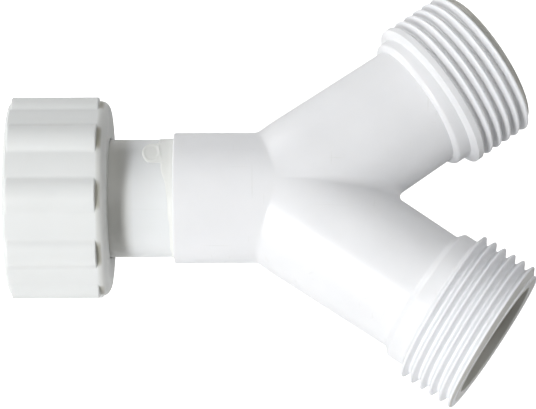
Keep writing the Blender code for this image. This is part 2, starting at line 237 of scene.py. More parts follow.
yBody = {
    "columns": 192,
    "forkRows": 26,
    "forkGrading": 1.35,  # rows crowd towards the mitre
    "plainRows": 3,  # last rows of a tube, left as they are
    "shoulderSteps": 9,
    "sleeveRadius": 10.70 * mm,
    "tubeRadius": 10.57 * mm,  # beside the collar
    "tubeDraft": math.radians(0.8),
    "tubeGrowth": 7.0 * mm,  # the branches reach their full size this far from the fork centre
    "mitreEase": 2.0 * mm,  # where the three tubes come to one size
    "crotchRound": 1.65 * mm,
    "creaseRound": 2.5 * mm,
    "shoulder": 28.1 * mm,  # where the draft is measured from
    "collarRadius": 11.67 * mm,
    "threadLow": 29.5 * mm,
    "outletBore": 9.96 * mm,
    "tubeBore": 8.67 * mm,
    "throatBore": 8.2 * mm,
    "throatLength": 5.3 * mm,
    "socketRadius": 9.74 * mm,
    "leadChamfer": 0.5 * mm,  # where the thread is cut back at the outlet
    "plateauRise": 0.3,  # in pitches
    "rimRings": (0.2 * mm, 0.4 * mm),  # rings on the outlet's face, below the thread's root
    "rimRing": 0.7 * mm,  # and above the bore
    "rimRound": 0.2 * mm,
    "boreRings": (1.0 * mm, 2.0 * mm),  # rings in the bore, from the face
    "boreLow": 29.3 * mm,  # the outlet's bore narrows from here
    "boreTaper": 26.6 * mm,  # to here
    "boreRound": 0.5 * mm,
    "innerEnd": 24.0 * mm,
    "innerRows": 14,
    "innerGrading": 1.2,
    "sleeveRows": 20,
    "sleeveGrading": 1.3,
    "mouthLong": 0.5 * mm,  # ends of the sleeve's mouth piece and of its tubes
    "mouthGap": 0.6 * mm,
    "mouthRound": 0.18 * mm,
    "socketRound": 0.1 * mm,
    "throatRows": 4,
}
outlets = {
    "left": {
        "axis": leftAxis,
        "start": 30.80 * mm,  # first crest, under the branch
        "fadeTurn": 0.17,  # share of a turn in which the thread rises
        "plateau": 0.52,  # flat land before the first crest, in pitches
        "shoulder": 27.9 * mm,
        "shoulderLong": 0.75 * mm,
        "face": 42.25 * mm,
        "plainEnd": 0.30 * mm,
        "lastCrest": 5,
    },
    "right": {
        "axis": rightAxis,
        "start": 31.75 * mm,
        "fadeTurn": 0.36,
        "plateau": 0.0,
        "shoulder": 28.2 * mm,
        "shoulderLong": 1.3 * mm,
        "face": 42.6 * mm,
        "plainEnd": -0.35 * mm,
        "lastCrest": 5,
    },
}


def branchRadius(along):
    drafted = yBody["tubeRadius"] + (yBody["shoulder"] - along) * math.tan(yBody["tubeDraft"])
    atCentre = yBody["tubeRadius"] + yBody["shoulder"] * math.tan(yBody["tubeDraft"])
    excess = atCentre - yBody["sleeveRadius"]
    return drafted - excess * (1 - smoothStep(along, 0.0, yBody["tubeGrowth"]))


def tubeDistance(points, axis, radiusAt):
    # distance to a tube that starts in a ball at the fork centre, and the direction away from its axis
    offset = points - forkCentre
    along = np.maximum(offset @ axis[0], 0.0)
    away = offset - along[:, None] * axis[0]
    length = np.linalg.norm(away, axis=1)
    return length - radiusAt(along), away / length[:, None]


def filletUnion(first, second, ballRadius):
    # joins two distances as a rolling ball would, so surfaces that run into each other flat stay flat
    distanceA, awayA = first
    distanceB, awayB = second
    cosine = np.clip((awayA * awayB).sum(axis=1), -1.0, 1.0)
    reach = ballRadius * (1 - np.sqrt((1 + cosine) / 2)) / (1 - math.sqrt(0.5)) + 1e-9
    inA, inB = np.maximum(reach - distanceA, 0.0), np.maximum(reach - distanceB, 0.0)
    joined = np.maximum(reach, np.minimum(distanceA, distanceB)) - np.hypot(inA, inB)
    nearer = np.where((distanceA < distanceB)[:, None], awayA, awayB)
    return joined, nearer


def forkDistance(points):
    left = tubeDistance(points, leftAxis, branchRadius)
    right = tubeDistance(points, rightAxis, branchRadius)
    sleeve = tubeDistance(points, inletAxis, lambda along: np.full(along.shape, yBody["sleeveRadius"]))
    branches = filletUnion(left, right, yBody["crotchRound"])
    return filletUnion(branches, sleeve, yBody["creaseRound"])[0]


def settleOnFork(points, rounds=8, step=0.00001):
    for _ in range(rounds):
        distance = forkDistance(points)
        gradient = np.stack([
            (forkDistance(points + step * unit) - forkDistance(points - step * unit)) / (2 * step)
            for unit in np.eye(3)
        ], axis=1)
        points = points - (distance / np.maximum((gradient ** 2).sum(axis=1), 0.25))[:, None] * gradient
    return points


def mitreStart(angles, radius, leftHalf, rightHalf):
    # where each line of a tube leaves the mitre, for the half angles to its neighbours
    offset = radius * np.sin(angles)
    return np.where(offset > 0, offset / math.tan(leftHalf), -offset / math.tan(rightHalf))


def gradedRows(start, end, count, power):
    share = (np.arange(count + 1) / count) ** power
    return start[None] + (end - start)[None] * share[:, None]


def outletShape(turn, angles, outlet, along):
    # height of the thread at each point, with its run-in and the lead chamfer
    def ridgeFrom(turnHere):
        height = threadHeight(turnHere)
        full = thread["rootRadius"] + (thread["crestRadius"] - thread["rootRadius"]) * height
        overCollar = thread["crestRadius"] - yBody["collarRadius"]
        rising = yBody["collarRadius"] + overCollar * height
        before = np.where(turnHere < -0.5, yBody["collarRadius"], rising)
        if outlet["plateau"] > 0:
            rise = yBody["plateauRise"]
            share = np.clip((turnHere + outlet["plateau"] + rise) / rise, 0.0, 1.0)
            before = yBody["collarRadius"] + overCollar * share
        return np.where(turnHere < 0, before, full)

    share = smoothStep(angles / math.tau, 0.0, outlet["fadeTurn"])[None]
    radius = (1 - share) * ridgeFrom(turn - 1.0) + share * ridgeFrom(turn)
    room = (outlet["face"] - outlet["plainEnd"] - along) / yBody["leadChamfer"]
    depth = thread["crestRadius"] - thread["rootRadius"]
    return np.minimum(radius, thread["rootRadius"] + depth * np.clip(room, 0.0, 1.0))


def settledTube(tube):
    # the rings beside the fork follow the joined surface
    free = -yBody["plainRows"]
    settled = settleOnFork(tube[:free].reshape(-1, 3)).reshape(tube[:free].shape)
    return np.concatenate([settled, tube[free:]])


def branchGrid(name):
    outlet = outlets[name]
    angles = ringAngles(yBody["columns"])
    toInlet, toBranch = (math.pi - fork["halfAngle"]) / 2, fork["halfAngle"]
    halves = (toInlet, toBranch) if name == "left" else (toBranch, toInlet)

    outerStart = mitreStart(angles, yBody["sleeveRadius"], *halves)
    tubeEnd = np.full(angles.shape, outlet["shoulder"])
    tubeAlong = gradedRows(outerStart, tubeEnd, yBody["forkRows"], yBody["forkGrading"])
    ease = np.minimum(1.0, (tubeAlong - outerStart[None]) / yBody["mitreEase"])
    tubeWidth = yBody["sleeveRadius"] + (branchRadius(tubeAlong) - yBody["sleeveRadius"]) * ease
    tube = settledTube(placeRings(tubeAlong, tubeWidth, angles, outlet["axis"], forkCentre))

    tubeWide = float(branchRadius(np.array([outlet["shoulder"]]))[0])
    rise = yBody["collarRadius"] - tubeWide
    if name == "left":
        turns = np.linspace(0.0, math.pi / 2, yBody["shoulderSteps"])
        shoulder = np.stack([1 - np.cos(turns), np.sin(turns)], axis=1)  # a clear step
    else:
        shares = np.linspace(0.0, 1.0, yBody["shoulderSteps"])
        shoulder = np.stack([shares, smoothStep(shares, 0.0, 1.0)], axis=1)  # a soft ramp
    shoulder = shoulder * (outlet["shoulderLong"], rise) + (outlet["shoulder"], tubeWide)
    shoulderRows = turnOutline(shoulder, angles, outlet["axis"], forkCentre)

    threadAlong, turn = threadRows(outlet["start"], yBody["threadLow"], outlet["face"], angles)
    threadWidth = outletShape(turn, angles, outlet, threadAlong)
    threadRings = placeRings(threadAlong, threadWidth, angles, outlet["axis"], forkCentre)

    inside = roundedOutline([
        *[(outlet["face"], thread["rootRadius"] - below, 0.0) for below in yBody["rimRings"]],
        (outlet["face"], yBody["outletBore"] + yBody["rimRing"], 0.0),
        (outlet["face"], yBody["outletBore"], yBody["rimRound"]),
        *[(outlet["face"] - depth, yBody["outletBore"], 0.0) for depth in yBody["boreRings"]],
        (yBody["boreLow"], yBody["outletBore"], yBody["boreRound"]),
        (yBody["boreTaper"], yBody["tubeBore"], yBody["boreRound"]),
        (yBody["innerEnd"], yBody["tubeBore"], 0.0),
    ])
    insideRings = turnOutline(inside, angles, outlet["axis"], forkCentre)
    innerStart = mitreStart(angles, yBody["throatBore"], *halves)
    innerEnd = np.full(angles.shape, yBody["innerEnd"])
    innerAlong = gradedRows(innerStart, innerEnd, yBody["innerRows"], yBody["innerGrading"])[::-1]
    widen = np.minimum(1.0, 2 * (innerAlong - innerStart[None]) / (innerEnd - innerStart)[None])
    innerWidth = yBody["throatBore"] + (yBody["tubeBore"] - yBody["throatBore"]) * widen
    innerRings = placeRings(innerAlong, innerWidth, angles, outlet["axis"], forkCentre)
    return np.concatenate([tube, shoulderRows, threadRings, insideRings, innerRings])


def sleeveGrid():
    angles = ringAngles(yBody["columns"])
    half = (math.pi - fork["halfAngle"]) / 2
    outerStart = mitreStart(angles, yBody["sleeveRadius"], half, half)
    outerEnd = np.full(angles.shape, fork["sleeveReach"] - yBody["mouthGap"])
    outerAlong = gradedRows(outerStart, outerEnd, yBody["sleeveRows"], yBody["sleeveGrading"])
    outerWidth = np.full(outerAlong.shape, yBody["sleeveRadius"])
    outer = settledTube(placeRings(outerAlong, outerWidth, angles, inletAxis, forkCentre))
    mouth = roundedOutline([
        (fork["sleeveReach"] - yBody["mouthLong"], yBody["sleeveRadius"], 0.0),
        (fork["sleeveReach"], yBody["sleeveRadius"], yBody["mouthRound"]),
        (fork["sleeveReach"], yBody["socketRadius"], yBody["socketRound"]),
        (yBody["throatLength"], yBody["socketRadius"], yBody["socketRound"]),
        (yBody["throatLength"], yBody["throatBore"], yBody["socketRound"]),
        (yBody["throatLength"] - yBody["mouthLong"], yBody["throatBore"], 0.0),
    ])
    mouthRings = turnOutline(mouth, angles, inletAxis, forkCentre)
    innerStart = mitreStart(angles, yBody["throatBore"], half, half)
    innerEnd = np.full(angles.shape, yBody["throatLength"] - yBody["mouthGap"])
    innerAlong = gradedRows(innerStart, innerEnd, yBody["throatRows"], 1.0)[::-1]
    innerWidth = np.full(innerAlong.shape, yBody["throatBore"])
    inner = placeRings(innerAlong, innerWidth, angles, inletAxis, forkCentre)
    return np.concatenate([outer, mouthRings, inner])


# painted shade mixed into the Y body's colour where its thread roots, bores, outlet faces and the flanks
# beyond the last crests lie in shade; plain is a light even painted shade on the rest, so the thread
# crests and the right outlet's outer face edge, left without it, read as painted highlights
bodyShadeAmounts = {
    "valley": {"left": 0.17, "right": 0.05},  # painted shade at the roots of the hose threads
    "bore": 0.68,
    "rimFace": 0.6,
    "plain": 0.10,
    "rimEdge": {"left": 0.0, "right": 0.3 * mm},  # width of the outer edge of the face left without painted shade, a painted highlight line
    "end": {"left": 0.62, "right": 0.50},  # painted shade on the flank beyond the last crest
    "endTurns": {"left": (0.10, 2.0), "right": (0.07, 0.43)},
    "valleyPower": 0.8,
    "overCollar": 0.2 * mm,  # how far the thread stands over the collar before it counts
    "skin": 0.02 * mm,
    "boreReach": 6.0 * mm,  # the bore gets painted shade from here, before the collar
    "middleReach": 4.0 * mm,
    "middleSkin": 0.1 * mm,
}


def bodyPaintedShade(places):
    offset = places - forkCentre
    amount = np.full(len(places), bodyShadeAmounts["plain"])
    for name, outlet in outlets.items():
        direction, sideways = outlet["axis"]
        along = offset @ direction
        radius = np.linalg.norm(offset - along[:, None] * direction, axis=1)
        side = (offset[:, 1] * direction[1]) > 0
        height = (radius - thread["rootRadius"]) / (thread["crestRadius"] - thread["rootRadius"])
        angle = np.arctan2(offset @ sideways, -offset[:, 2]) % math.tau
        turn = (along - outlet["start"]) / thread["pitch"] - angle / math.tau
        threaded = side & (turn > 0) & (radius > yBody["collarRadius"] + bodyShadeAmounts["overCollar"])
        valley = bodyShadeAmounts["valley"][name] * np.clip(1 - height, 0, 1) ** bodyShadeAmounts["valleyPower"]
        amount = np.where(threaded, valley, amount)
        atFace = side & (along > outlet["face"] - bodyShadeAmounts["skin"])
        endLow, endHigh = bodyShadeAmounts["endTurns"][name]
        beyond = threaded & (turn > outlet["lastCrest"] + endLow) & (turn < outlet["lastCrest"] + endHigh)
        amount = np.where(beyond, bodyShadeAmounts["end"][name], amount)
        amount = np.where(atFace, bodyShadeAmounts["rimFace"], amount)
        rimEdge = atFace & (radius > thread["rootRadius"] - bodyShadeAmounts["rimEdge"][name])
        amount = np.where(rimEdge, 0.0, amount)
        boreStart = yBody["shoulder"] - bodyShadeAmounts["boreReach"]
        inside = side & (along > boreStart) & (radius < yBody["outletBore"] + bodyShadeAmounts["skin"])
        amount = np.where(inside, bodyShadeAmounts["bore"], amount)
    # painted shade deep in the middle, where the three bores meet
    middle = np.linalg.norm(offset, axis=1) < yBody["throatBore"] + bodyShadeAmounts["middleReach"]
    deep = middle & (np.hypot(offset[:, 1], offset[:, 2]) < yBody["throatBore"] + bodyShadeAmounts["middleSkin"])
    return np.where(deep, bodyShadeAmounts["bore"], amount)


yMesh = meshFromGrids("yBodySkin", [branchGrid("left"), branchGrid("right"), sleeveGrid()])
storePaintedShade(yMesh, bodyPaintedShade(vertexPlaces(yMesh)))
yPiece = addPiece("yBodySkin", yMesh, "fixed", "y_body")
print("Y body built")


# swivel nut

nut = {
    "columns": 360,
    "baseRadius": 16.0 * mm,
    "ribs": 10,
    "ribTurn": math.radians(16.1),
    "ribCentre": 13.4 * mm,
    "ribRound": 3.6 * mm,
    "footBlend": 0.22 * mm,
    "frontChamfer": 0.45 * mm,
    "ribFront": 0.6 * mm,
    "ribRear": 1.6 * mm,
    "ribEdge": 0.22 * mm,
    "rearLong": 1.5 * mm,
    "rearDeep": 1.7 * mm,
    "hole": 9.89 * mm,
    "plate": 2.9 * mm,
    "threadDepth": 7.9 * mm,
    "clearance": 0.12 * mm,
    "relief": 13.54 * mm,
    "leadIn": 0.8 * mm,
    "frontRing": 0.6 * mm,  # ring on the front face, inside the chamfer
    "frontRound": 0.25 * mm,
    "chamferRound": 0.1 * mm,
    "edgeSteps": 5,
    "ribRows": 9,
    "rearSteps": 8,
    "rearRing": 0.3 * mm,
    "holeRound": 0.2 * mm,
    "plateRound": 0.15 * mm,
    "reliefRound": 0.3 * mm,
    "reliefLow": 0.9 * mm,  # the relief ends this far behind the thread
    "reliefFoot": 0.45 * mm,
    "firstCrest": 0.3 * mm,
    "mouthGap": 0.3 * mm,
    "mouthRing": 0.15 * mm,
}


def ribbedRadius(angles):
    spacing = math.tau / nut["ribs"]
    offset = (angles - nut["ribTurn"] + spacing / 2) % spacing - spacing / 2
    across = nut["ribCentre"] * np.sin(offset)
    inside = np.maximum(nut["ribRound"] ** 2 - across ** 2, 0.0)
    crown = nut["ribCentre"] * np.cos(offset) + np.sqrt(inside)
    crown = np.where(np.abs(across) < nut["ribRound"], crown, 0.0)
    near = np.maximum(nut["footBlend"] - np.abs(crown - nut["baseRadius"]), 0.0)
    return np.maximum(crown, nut["baseRadius"]) + near ** 2 / (4 * nut["footBlend"])


def nutGrid():
    angles = ringAngles(nut["columns"])
    length = nutHigh[0] - nutLow[0]
    ribbed = ribbedRadius(angles)
    plain = np.full(angles.shape, nut["baseRadius"])
    rows = []  # (distance from the front, radius at each angle)

    def plainRows(outline):
        for along, radius in outline:
            rows.append((np.full(angles.shape, along), np.full(angles.shape, radius)))

    chamfer = nut["frontChamfer"]
    plainRows(roundedOutline([
        (0.0, nut["baseRadius"] - chamfer - nut["frontRing"], 0.0),
        (0.0, nut["baseRadius"] - chamfer, nut["frontRound"]),
        (chamfer, nut["baseRadius"], nut["chamferRound"]),
        (nut["ribFront"], nut["baseRadius"], 0.0),
    ])[1:])
    edge = nut["ribEdge"]
    front, rear = nut["ribFront"], length - nut["ribRear"]
    steps = nut["edgeSteps"]

    def edgeRow(along, turn):
        width = np.maximum(ribbed - edge * (1 - math.sin(turn)), plain)
        rows.append((np.full(angles.shape, along), width))

    for k in range(steps + 1):
        a = math.pi / 2 * k / steps
        edgeRow(front + edge * (1 - math.cos(a)), a)
    for along in np.linspace(front + 2 * edge, rear - 2 * edge, nut["ribRows"]):
        rows.append((np.full(angles.shape, along), ribbed))
    for k in range(steps + 1):
        a = math.pi / 2 * (1 - k / steps)
        edgeRow(rear - edge * (1 - math.cos(a)), a)
    plainRows([(rear, nut["baseRadius"])])
    for k in range(nut["rearSteps"] + 1):
        a = math.pi / 2 * k / nut["rearSteps"]
        along = length - nut["rearLong"] * (1 - math.sin(a))
        plainRows([(along, nut["baseRadius"] - nut["rearDeep"] * (1 - math.cos(a)))])
    core = thread["rootRadius"] + nut["clearance"]
    plainRows(roundedOutline([
        (length, nut["baseRadius"] - nut["rearDeep"] - nut["rearRing"], 0.0),
        (length, nut["hole"], nut["holeRound"]),
        (length - nut["plate"], nut["hole"], nut["plateRound"]),
        (length - nut["plate"], nut["relief"], nut["reliefRound"]),
        (nut["threadDepth"] + nut["reliefLow"], nut["relief"], nut["holeRound"]),
        (nut["threadDepth"] + nut["reliefFoot"], nut["relief"] - nut["reliefLow"], 0.0),
    ]))
    low, high = nut["leadIn"], nut["threadDepth"]
    along, turn = threadRows(nut["firstCrest"], low, high, angles)
    depth = (1 - threadHeight(turn)) * (thread["crestRadius"] - thread["rootRadius"])
    threadWidth = core + depth
    for k in range(len(along) - 1, -1, -1):
        rows.append((along[k], threadWidth[k]))
    opening = core + nut["leadIn"] + nut["mouthGap"]
    plainRows([
        (0.0, opening + nut["mouthRing"]),
        (0.0, nut["baseRadius"] - chamfer - nut["frontRing"]),
    ])
    along = np.array([row[0] for row in rows])
    radius = np.array([row[1] for row in rows])
    origin = np.array([nutLow[0], 0.0, axisZ])
    along = np.concatenate([along, along[:1]])
    radius = np.concatenate([radius, radius[:1]])
    return placeRings(along, radius, angles, rearAxis, origin)


# painted shade on the nut: inside its thread and relief, on the rear shoulder, and painted shadows that
# the ribs would cast on the shoulder behind their rear ends
nutShadeAmounts = {
    "inside": 0.8,
    "shoulder": 0.22,
    "behindRibs": 0.85,
    "ribHeight": 0.7 * mm,  # behind a rib this high its painted shadow is full
    "rise": (-0.02 * mm, 0.06 * mm),  # places from the ribs' rear end
    "fall": (0.5 * mm, 1.1 * mm),
    "shoulderRise": (-0.1 * mm, 0.3 * mm),
    "margin": 0.1 * mm,
    "skin": 0.05 * mm,
    "rearMargin": 0.3 * mm,
}


def nutPaintedShade(places):
    length = nutHigh[0] - nutLow[0]
    along = places[:, 0] - nutLow[0]
    radius = np.hypot(places[:, 1], places[:, 2] - axisZ)
    rear = length - nut["ribRear"]
    angle = np.arctan2(places[:, 1], axisZ - places[:, 2]) % math.tau
    ribbed = np.clip((ribbedRadius(angle) - nut["baseRadius"]) / nutShadeAmounts["ribHeight"], 0.0, 1.0)
    rise = smoothStep(along, *[rear + place for place in nutShadeAmounts["rise"]])
    fall = smoothStep(along, *[rear + place for place in nutShadeAmounts["fall"]])
    outside = radius > nut["hole"] + nutShadeAmounts["margin"]
    shoulder = smoothStep(along, *[rear + place for place in nutShadeAmounts["shoulderRise"]]) * outside
    between = (along > nutShadeAmounts["margin"]) & (along < length - nutShadeAmounts["rearMargin"])
    inside = between & (radius < nut["relief"] + nutShadeAmounts["skin"])
    # painted shadows of the ribs on the shoulder
    behind = nutShadeAmounts["behindRibs"] * ribbed * (rise * (1 - fall)) * outside
    return np.where(inside, nutShadeAmounts["inside"], np.maximum(nutShadeAmounts["shoulder"] * shoulder, behind))


nutMesh = meshFromGrids("ribbedNut", [nutGrid()])
storePaintedShade(nutMesh, nutPaintedShade(vertexPlaces(nutMesh)))
nutPiece = addPiece("ribbedNut", nutMesh, "nut", "swivel_nut")
print("nut built")


# tailpiece, washer and cement

def turnedMesh(name, outline, start, columns):
    closed = np.concatenate([outline, outline[:1]])
    origin = np.array([start, 0, axisZ])
    return meshFromGrids(name, [turnOutline(closed, ringAngles(columns), rearAxis, origin)])


tail = {
    "radius": 9.64 * mm,
    "bore": 7.64 * mm,
    "flangeRadius": 11.7 * mm,
    "flangeThickness": 2.2 * mm,
    "flangeFoot": 0.3 * mm,
    "edge": 0.25 * mm,
    "columns": 144,
    "stops": 30,
    "stopsFrom": 1.0 * mm,  # first and last stop, from the flange and from the far end
    "paintedShade": 0.5,
    "paintedShadowFades": (2.0 * mm, 4.2 * mm),  # painted shadow of the nut, fading out between these distances from the nut
}
tailLength = tailHigh[0] - tailLow[0]
tailStops = np.linspace(
    tail["flangeThickness"] + tail["stopsFrom"], tailLength - tail["stopsFrom"], tail["stops"])
tailOutline = roundedOutline([
    (0.0, tail["bore"], tail["edge"]),
    (0.0, tail["flangeRadius"], tail["edge"]),
    (tail["flangeThickness"], tail["flangeRadius"], tail["edge"]),
    (tail["flangeThickness"], tail["radius"], tail["flangeFoot"]),
    *[(stop, tail["radius"], 0.0) for stop in tailStops],
    (tailLength, tail["radius"], tail["edge"]),
    (tailLength, tail["bore"], tail["edge"]),
])
tailMesh = turnedMesh("tailTube", tailOutline, tailLow[0], tail["columns"])
# painted shadow of the nut on the tube, darkest next to the nut
fromNut = vertexPlaces(tailMesh)[:, 0] - nutHigh[0]
storePaintedShade(tailMesh, tail["paintedShade"] * (1 - smoothStep(fromNut, *tail["paintedShadowFades"])))
tailPiece = addPiece("tailTube", tailMesh, "fixed", "tailpiece")

washer = {"radius": 11.75 * mm, "bore": 8.0 * mm, "edge": 0.4 * mm, "columns": 96}
washerLength = washerHigh[0] - washerLow[0]
washerOutline = roundedOutline([
    (0.0, washer["bore"], washer["edge"]),
    (0.0, washer["radius"], washer["edge"]),
    (washerLength, washer["radius"], washer["edge"]),
    (washerLength, washer["bore"], washer["edge"]),
])
washerMesh = turnedMesh("sealRing", washerOutline, washerLow[0], washer["columns"])
washerPiece = addPiece("sealRing", washerMesh, "fixed", "hose_washer")

cement = {
    "gap": 0.03 * mm,
    "thickness": 0.15 * mm,
    "edgeThickness": 0.07 * mm,
    "columns": 480,
    "rows": 34,
    # how far it crept along the tube, by the angle in degrees round it
    "edge": (
        (0, 0.5), (30, 0.4), (60, 1.3), (90, 2.3), (104, 2.4), (118, 2.5), (135, 2.3), (160, 2.0),
        (172, 1.7), (185, 1.2), (205, 0.8), (225, 0.6), (270, 0.4), (315, 0.6), (360, 0.5),
    ),
    "edgeWaves": ((0.06 * mm, 9, 0.0), (0.04 * mm, 17, 1.0)),  # height, count round the tube, phase
    "mouthLong": 0.5 * mm,  # the film is thick this near to the sleeve
    "tipShare": 0.06,  # last share of the reach, where the film runs out
    "lobeAngle": 147.5,  # middle of the thumb-shaped lobe, in degrees
    "lobeWide": 14.5,
    "lobeAlong": 3.5 * mm,
    "lobeLong": 1.5 * mm,
    "rimHeight": 0.085 * mm,  # raised rim round the lobe
    "rimPlace": 0.86,
    "rimWide": 0.13,
    "curlAlong": 2.0 * mm,  # a raised line that leads into the lobe
    "curlHeight": 0.07 * mm,
    "curlSway": 0.35 * mm,
    "curlWide": 0.16 * mm,
    "curlZero": 124.0,  # in degrees, like the next line
    "curlRise": (120.0, 127.0),
    "curlFall": (148.0, 164.0),
    "curlTurns": 6,
}


def cementGrid():
    angles = ringAngles(cement["columns"])
    degrees = np.degrees(angles)
    table = np.array(cement["edge"])
    reach = np.interp(degrees, table[:, 0], table[:, 1]) * mm
    for height, count, phase in cement["edgeWaves"]:
        reach = reach + height * np.sin(count * angles + phase)
    across = (degrees - cement["lobeAngle"]) / cement["lobeWide"]
    bulge = cement["lobeAlong"] + cement["lobeLong"] * np.sqrt(np.maximum(1 - across ** 2, 0.0))
    reach = np.where(np.abs(across) < 1, np.maximum(reach, bulge), reach)
    inner = tail["radius"] + cement["gap"]
    shares = np.linspace(0.0, 1.0, cement["rows"])[:, None]
    film = cement["gap"] + (reach - cement["gap"])[None] * shares
    nearMouth = np.exp(-((film / cement["mouthLong"]) ** 2))
    height = cement["edgeThickness"] + (cement["thickness"] - cement["edgeThickness"]) * nearMouth
    oval = np.hypot((film - cement["lobeAlong"]) / cement["lobeLong"], across[None])
    rim = np.exp(-(((oval - cement["rimPlace"]) / cement["rimWide"]) ** 2))
    height = height + cement["rimHeight"] * rim
    curlSpan = smoothStep(degrees, *cement["curlRise"]) * (1 - smoothStep(degrees, *cement["curlFall"]))
    curlTurn = np.radians(degrees - cement["curlZero"]) * cement["curlTurns"]
    curlPlace = cement["curlAlong"] + cement["curlSway"] * np.sin(curlTurn)
    curl = np.exp(-(((film - curlPlace[None]) / cement["curlWide"]) ** 2)) * curlSpan[None]
    height = height + cement["curlHeight"] * curl
    height = height * np.sqrt(np.clip((1 - shares) / cement["tipShare"], 0.0, 1.0))
    along = np.concatenate([film[:1], film, film[:1]])
    radius = inner + np.concatenate([height[:1] * 0, height, height[:1] * 0])
    origin = np.array([bodyLow[0], 0.0, axisZ])
    return placeRings(along, radius, angles, inletAxis, origin)


cementMesh = meshFromGrids("cementFilm", [cementGrid()])
cementPiece = addPiece("cementFilm", cementMesh, "fixed", "cement_bead")
print("tube, ring and cement built")


# materials

def newGroup(name, inputs, outputs):
    group = bpy.data.node_groups.new(name, "ShaderNodeTree")
    for label, kind, value in inputs:
        socket = group.interface.new_socket(name=label, in_out="INPUT", socket_type=kind)
        socket.default_value = value
    for label, kind in outputs:
        group.interface.new_socket(name=label, in_out="OUTPUT", socket_type=kind)
    start = group.nodes.new("NodeGroupInput")
    end = group.nodes.new("NodeGroupOutput")
    return group, start, end


def mathNode(tree, operation, first, second, clamp=False):
    node = tree.nodes.new("ShaderNodeMath")
    node.operation = operation
    node.use_clamp = clamp
    for socket, value in zip(node.inputs, (first, second)):
        if isinstance(value, bpy.types.NodeSocket):
            tree.links.new(value, socket)
        else:
            socket.default_value = value
    return node.outputs[0]


def noiseNode(tree, vector, scale, detail, roughness=0.5):
    node = tree.nodes.new("ShaderNodeTexNoise")
    tree.links.new(vector, node.inputs["Vector"])
    if isinstance(scale, bpy.types.NodeSocket):
        tree.links.new(scale, node.inputs["Scale"])
    else:
        node.inputs["Scale"].default_value = scale
    node.inputs["Detail"].default_value = detail
    node.inputs["Roughness"].default_value = roughness
    return node.outputs["Fac"]


def rampNode(tree, value, low, high):
    node = tree.nodes.new("ShaderNodeMapRange")
    node.inputs["From Min"].default_value = low
    node.inputs["From Max"].default_value = high
    tree.links.new(value, node.inputs["Value"])
    return node.outputs["Result"]


skinNoise = {
    # detail and roughness, after the scale where that is fixed
    "cloud": (3.0, 0.55),
    "grain": (2.0, 0.6),
    "wave": (260.0, 1.0, 0.4),
}
marksNoise = {
    "lines": ((0.5, (60.0, 1900.0, 500.0)), (2.1, (1700.0, 70.0, 450.0))),  # turn and stretch
    "tilt": (0.2, 0.1),
    "lineRamp": (0.70, 0.76),
    "patches": (90.0, 2.0),
    "patchRamp": (0.45, 0.65),
    "rubs": (210.0, 4.0, 0.65),
    "rubRamp": (0.55, 0.75),
}


def makeMouldedSkin():
    group, start, end = newGroup(
        "mouldedSkin",
        [("Vector", "NodeSocketVector", (0, 0, 0)), ("Grain Scale", "NodeSocketFloat", 2500.0),
         ("Cloud Scale", "NodeSocketFloat", 120.0)],
        [("Cloud", "NodeSocketFloat"), ("Grain", "NodeSocketFloat"), ("Waviness", "NodeSocketFloat")],
    )
    vector = start.outputs["Vector"]
    cloud = noiseNode(group, vector, start.outputs["Cloud Scale"], *skinNoise["cloud"])
    grain = noiseNode(group, vector, start.outputs["Grain Scale"], *skinNoise["grain"])
    wave = noiseNode(group, vector, *skinNoise["wave"])
    group.links.new(cloud, end.inputs["Cloud"])
    group.links.new(grain, end.inputs["Grain"])
    group.links.new(wave, end.inputs["Waviness"])
    return group


def makeHandlingMarks():
    # thin scratches and small rubbed spots
    group, start, end = newGroup(
        "handlingMarks",
        [("Vector", "NodeSocketVector", (0, 0, 0)), ("Amount", "NodeSocketFloat", 0.5)],
        [("Scratches", "NodeSocketFloat"), ("Rubs", "NodeSocketFloat")],
    )
    lines = None
    for turn, stretch in marksNoise["lines"]:
        mapping = group.nodes.new("ShaderNodeMapping")
        mapping.inputs["Rotation"].default_value = (*marksNoise["tilt"], turn)
        mapping.inputs["Scale"].default_value = stretch
        group.links.new(start.outputs["Vector"], mapping.inputs["Vector"])
        noise = noiseNode(group, mapping.outputs["Vector"], 1.0, 1.0)
        line = rampNode(group, noise, *marksNoise["lineRamp"])
        lines = line if lines is None else mathNode(group, "MAXIMUM", lines, line)
    patches = noiseNode(group, start.outputs["Vector"], *marksNoise["patches"])
    patches = rampNode(group, patches, *marksNoise["patchRamp"])
    scratches = mathNode(group, "MULTIPLY", lines, patches)
    scratches = mathNode(group, "MULTIPLY", scratches, start.outputs["Amount"])
    rubs = noiseNode(group, start.outputs["Vector"], *marksNoise["rubs"])
    rubs = rampNode(group, rubs, *marksNoise["rubRamp"])
    rubs = mathNode(group, "MULTIPLY", rubs, start.outputs["Amount"])
    group.links.new(scratches, end.inputs["Scratches"])
    group.links.new(rubs, end.inputs["Rubs"])
    return group


skinGroup = makeMouldedSkin()
marksGroup = makeHandlingMarks()


def groupNode(tree, group, vector, values):
    node = tree.nodes.new("ShaderNodeGroup")
    node.node_tree = group
    tree.links.new(vector, node.inputs["Vector"])
    for label, value in values.items():
        node.inputs[label].default_value = value
    return node


def mixColour(tree, factor, first, second):
    node = tree.nodes.new("ShaderNodeMix")
    node.data_type = "RGBA"
    tree.links.new(factor, node.inputs["Factor"])
    for socket, value in ((node.inputs["A"], first), (node.inputs["B"], second)):
        if isinstance(value, bpy.types.NodeSocket):
            tree.links.new(value, socket)
        else:
            socket.default_value = (*value, 1.0)
    return node.outputs["Result"]


